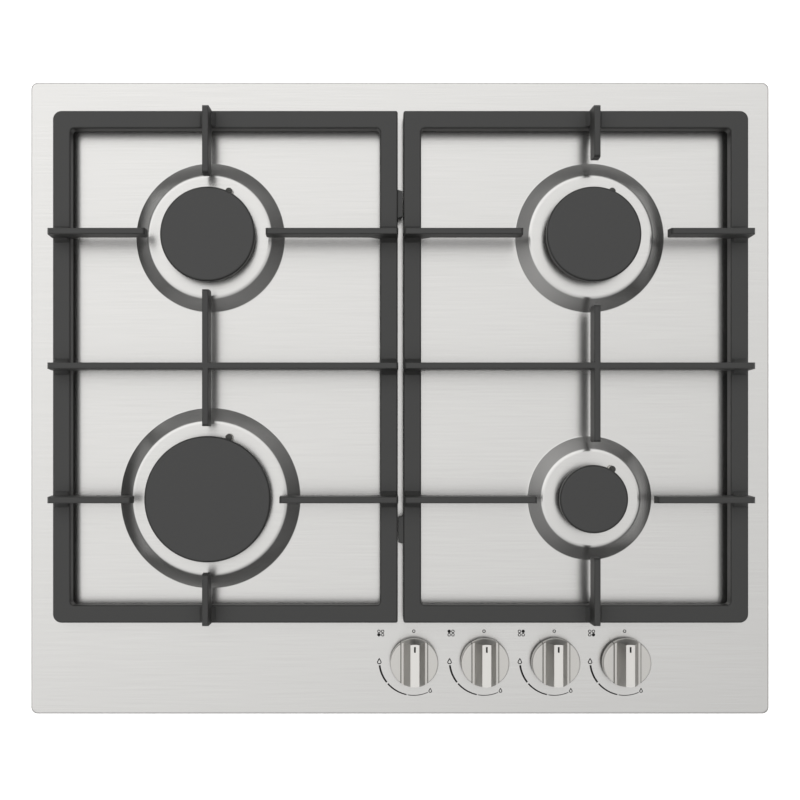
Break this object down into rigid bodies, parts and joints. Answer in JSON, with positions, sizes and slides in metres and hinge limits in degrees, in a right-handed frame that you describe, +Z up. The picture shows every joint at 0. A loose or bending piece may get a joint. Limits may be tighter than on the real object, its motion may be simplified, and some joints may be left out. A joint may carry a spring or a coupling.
{
  "type": "gas cooktop",
  "caption": "Built-in gas cooktop: steel top and case, gas burners with lift-off heads and caps, cast iron grates, push and turn knobs on gas taps.",
  "frame": {"origin": "under the middle of the panel, on the flat underside of the case", "axes": "+X to the right along the front edge, +Y to the rear, +Z up"},
  "size_m": [0.596, 0.51, 0.093],
  "materials": {
    "brushed_stainless": "brushed stainless steel sheet",
    "foam_seal": "closed-cell foam strip",
    "galvanised_steel": "hot-dip galvanised sheet steel",
    "zinc_plated_steel": "zinc plated steel",
    "plain_brass": "turned brass",
    "cast_aluminium": "die-cast aluminium",
    "drawn_aluminium": "drawn aluminium tube",
    "satin_metal": "satin metal finish",
    "matt_black_enamel": "matt black vitreous enamel on steel",
    "enamelled_cast_iron": "matt black enamelled cast iron",
    "black_rubber": "moulded silicone rubber",
    "black_plastic": "moulded plastic",
    "grey_plastic": "moulded plastic",
    "white_ceramic": "glazed ceramic with a steel tip",
    "lead_sleeve": "silicone rubber sleeve"
  },
  "bodies": {
    "root": {"top_panel": "brushed_stainless", "panel_seal": "foam_seal", "bottom_case": "galvanised_steel", "fixing_tabs": "galvanised_steel", "case_screws": "zinc_plated_steel", "gas_rail": "zinc_plated_steel", "rail_brackets": "galvanised_steel", "inlet_elbow": "plain_brass", "tap_body_front_left": "cast_aluminium", "tap_body_rear_left": "cast_aluminium", "tap_body_rear_right": "cast_aluminium", "tap_body_front_right": "cast_aluminium", "tap_bonnets": "zinc_plated_steel", "tap_grub_screws": "zinc_plated_steel", "ignition_switches": "black_plastic", "burner_cup_front_left": "cast_aluminium", "burner_cup_rear_left": "cast_aluminium", "burner_cup_rear_right": "cast_aluminium", "burner_cup_front_right": "cast_aluminium", "gas_jets": "plain_brass", "cup_screws": "zinc_plated_steel", "spark_electrodes": "white_ceramic", "supply_tube_front_left": "drawn_aluminium", "supply_tube_rear_left": "drawn_aluminium", "supply_tube_rear_right": "drawn_aluminium", "supply_tube_front_right": "drawn_aluminium", "spark_generator": "grey_plastic", "ignition_leads": "lead_sleeve", "switch_wires": "lead_sleeve", "terminal_box": "grey_plastic", "mains_lead": "lead_sleeve"},
    "tap_plug_front_left": {"tap_plug_front_left": "plain_brass", "tap_spring_front_left": "zinc_plated_steel"},
    "tap_spindle_front_left": {"tap_spindle_front_left": "zinc_plated_steel"},
    "knob_front_left": {"knob_front_left": "satin_metal"},
    "burner_head_front_left": {"burner_head_front_left": "cast_aluminium"},
    "burner_cap_front_left": {"burner_cap_front_left": "matt_black_enamel"},
    "tap_plug_rear_left": {"tap_plug_rear_left": "plain_brass", "tap_spring_rear_left": "zinc_plated_steel"},
    "tap_spindle_rear_left": {"tap_spindle_rear_left": "zinc_plated_steel"},
    "knob_rear_left": {"knob_rear_left": "satin_metal"},
    "burner_head_rear_left": {"burner_head_rear_left": "cast_aluminium"},
    "burner_cap_rear_left": {"burner_cap_rear_left": "matt_black_enamel"},
    "tap_plug_rear_right": {"tap_plug_rear_right": "plain_brass", "tap_spring_rear_right": "zinc_plated_steel"},
    "tap_spindle_rear_right": {"tap_spindle_rear_right": "zinc_plated_steel"},
    "knob_rear_right": {"knob_rear_right": "satin_metal"},
    "burner_head_rear_right": {"burner_head_rear_right": "cast_aluminium"},
    "burner_cap_rear_right": {"burner_cap_rear_right": "matt_black_enamel"},
    "tap_plug_front_right": {"tap_plug_front_right": "plain_brass", "tap_spring_front_right": "zinc_plated_steel"},
    "tap_spindle_front_right": {"tap_spindle_front_right": "zinc_plated_steel"},
    "knob_front_right": {"knob_front_right": "satin_metal"},
    "burner_head_front_right": {"burner_head_front_right": "cast_aluminium"},
    "burner_cap_front_right": {"burner_cap_front_right": "matt_black_enamel"},
    "grate_left": {"grate_left": "enamelled_cast_iron", "grate_feet_left": "black_rubber"},
    "grate_right": {"grate_right": "enamelled_cast_iron", "grate_feet_right": "black_rubber"}
  },
  "joints": [
    {"name": "knob_turn_front_left", "type": "hinge", "parent": "root", "child": "tap_plug_front_left", "pos_m": [0.0111, -0.212, 0.013], "axis": [0, 0, 1], "range_deg": [0, 210]},
    {"name": "knob_push_front_left", "type": "slide", "parent": "tap_plug_front_left", "child": "tap_spindle_front_left", "axis": [0, 0, 1], "range_m": [-0.004, 0], "stiffness_N_per_m": 600, "springref_m": 0.006, "deforming": ["tap_spring_front_left"]},
    {"name": "knob_pull_off_front_left", "type": "slide", "parent": "tap_spindle_front_left", "child": "knob_front_left", "axis": [0, 0, 1], "range_m": [0, 0.03]},
    {"name": "head_lift_front_left", "type": "slide", "parent": "root", "child": "burner_head_front_left", "axis": [0, 0, 1], "range_m": [0, 0.04]},
    {"name": "cap_lift_front_left", "type": "slide", "parent": "burner_head_front_left", "child": "burner_cap_front_left", "axis": [0, 0, 1], "range_m": [0, 0.03]},
    {"name": "knob_turn_rear_left", "type": "hinge", "parent": "root", "child": "tap_plug_rear_left", "pos_m": [0.0678, -0.212, 0.013], "axis": [0, 0, 1], "range_deg": [0, 210]},
    {"name": "knob_push_rear_left", "type": "slide", "parent": "tap_plug_rear_left", "child": "tap_spindle_rear_left", "axis": [0, 0, 1], "range_m": [-0.004, 0], "stiffness_N_per_m": 600, "springref_m": 0.006, "deforming": ["tap_spring_rear_left"]},
    {"name": "knob_pull_off_rear_left", "type": "slide", "parent": "tap_spindle_rear_left", "child": "knob_rear_left", "axis": [0, 0, 1], "range_m": [0, 0.03]},
    {"name": "head_lift_rear_left", "type": "slide", "parent": "root", "child": "burner_head_rear_left", "axis": [0, 0, 1], "range_m": [0, 0.04]},
    {"name": "cap_lift_rear_left", "type": "slide", "parent": "burner_head_rear_left", "child": "burner_cap_rear_left", "axis": [0, 0, 1], "range_m": [0, 0.03]},
    {"name": "knob_turn_rear_right", "type": "hinge", "parent": "root", "child": "tap_plug_rear_right", "pos_m": [0.1245, -0.212, 0.013], "axis": [0, 0, 1], "range_deg": [0, 210]},
    {"name": "knob_push_rear_right", "type": "slide", "parent": "tap_plug_rear_right", "child": "tap_spindle_rear_right", "axis": [0, 0, 1], "range_m": [-0.004, 0], "stiffness_N_per_m": 600, "springref_m": 0.006, "deforming": ["tap_spring_rear_right"]},
    {"name": "knob_pull_off_rear_right", "type": "slide", "parent": "tap_spindle_rear_right", "child": "knob_rear_right", "axis": [0, 0, 1], "range_m": [0, 0.03]},
    {"name": "head_lift_rear_right", "type": "slide", "parent": "root", "child": "burner_head_rear_right", "axis": [0, 0, 1], "range_m": [0, 0.04]},
    {"name": "cap_lift_rear_right", "type": "slide", "parent": "burner_head_rear_right", "child": "burner_cap_rear_right", "axis": [0, 0, 1], "range_m": [0, 0.03]},
    {"name": "knob_turn_front_right", "type": "hinge", "parent": "root", "child": "tap_plug_front_right", "pos_m": [0.1812, -0.212, 0.013], "axis": [0, 0, 1], "range_deg": [0, 210]},
    {"name": "knob_push_front_right", "type": "slide", "parent": "tap_plug_front_right", "child": "tap_spindle_front_right", "axis": [0, 0, 1], "range_m": [-0.004, 0], "stiffness_N_per_m": 600, "springref_m": 0.006, "deforming": ["tap_spring_front_right"]},
    {"name": "knob_pull_off_front_right", "type": "slide", "parent": "tap_spindle_front_right", "child": "knob_front_right", "axis": [0, 0, 1], "range_m": [0, 0.03]},
    {"name": "head_lift_front_right", "type": "slide", "parent": "root", "child": "burner_head_front_right", "axis": [0, 0, 1], "range_m": [0, 0.04]},
    {"name": "cap_lift_front_right", "type": "slide", "parent": "burner_head_front_right", "child": "burner_cap_front_right", "axis": [0, 0, 1], "range_m": [0, 0.03]},
    {"name": "grate_lift_left", "type": "slide", "parent": "root", "child": "grate_left", "axis": [0, 0, 1], "range_m": [0, 0.08]},
    {"name": "grate_lift_right", "type": "slide", "parent": "root", "child": "grate_right", "axis": [0, 0, 1], "range_m": [0, 0.08]}
  ]
}
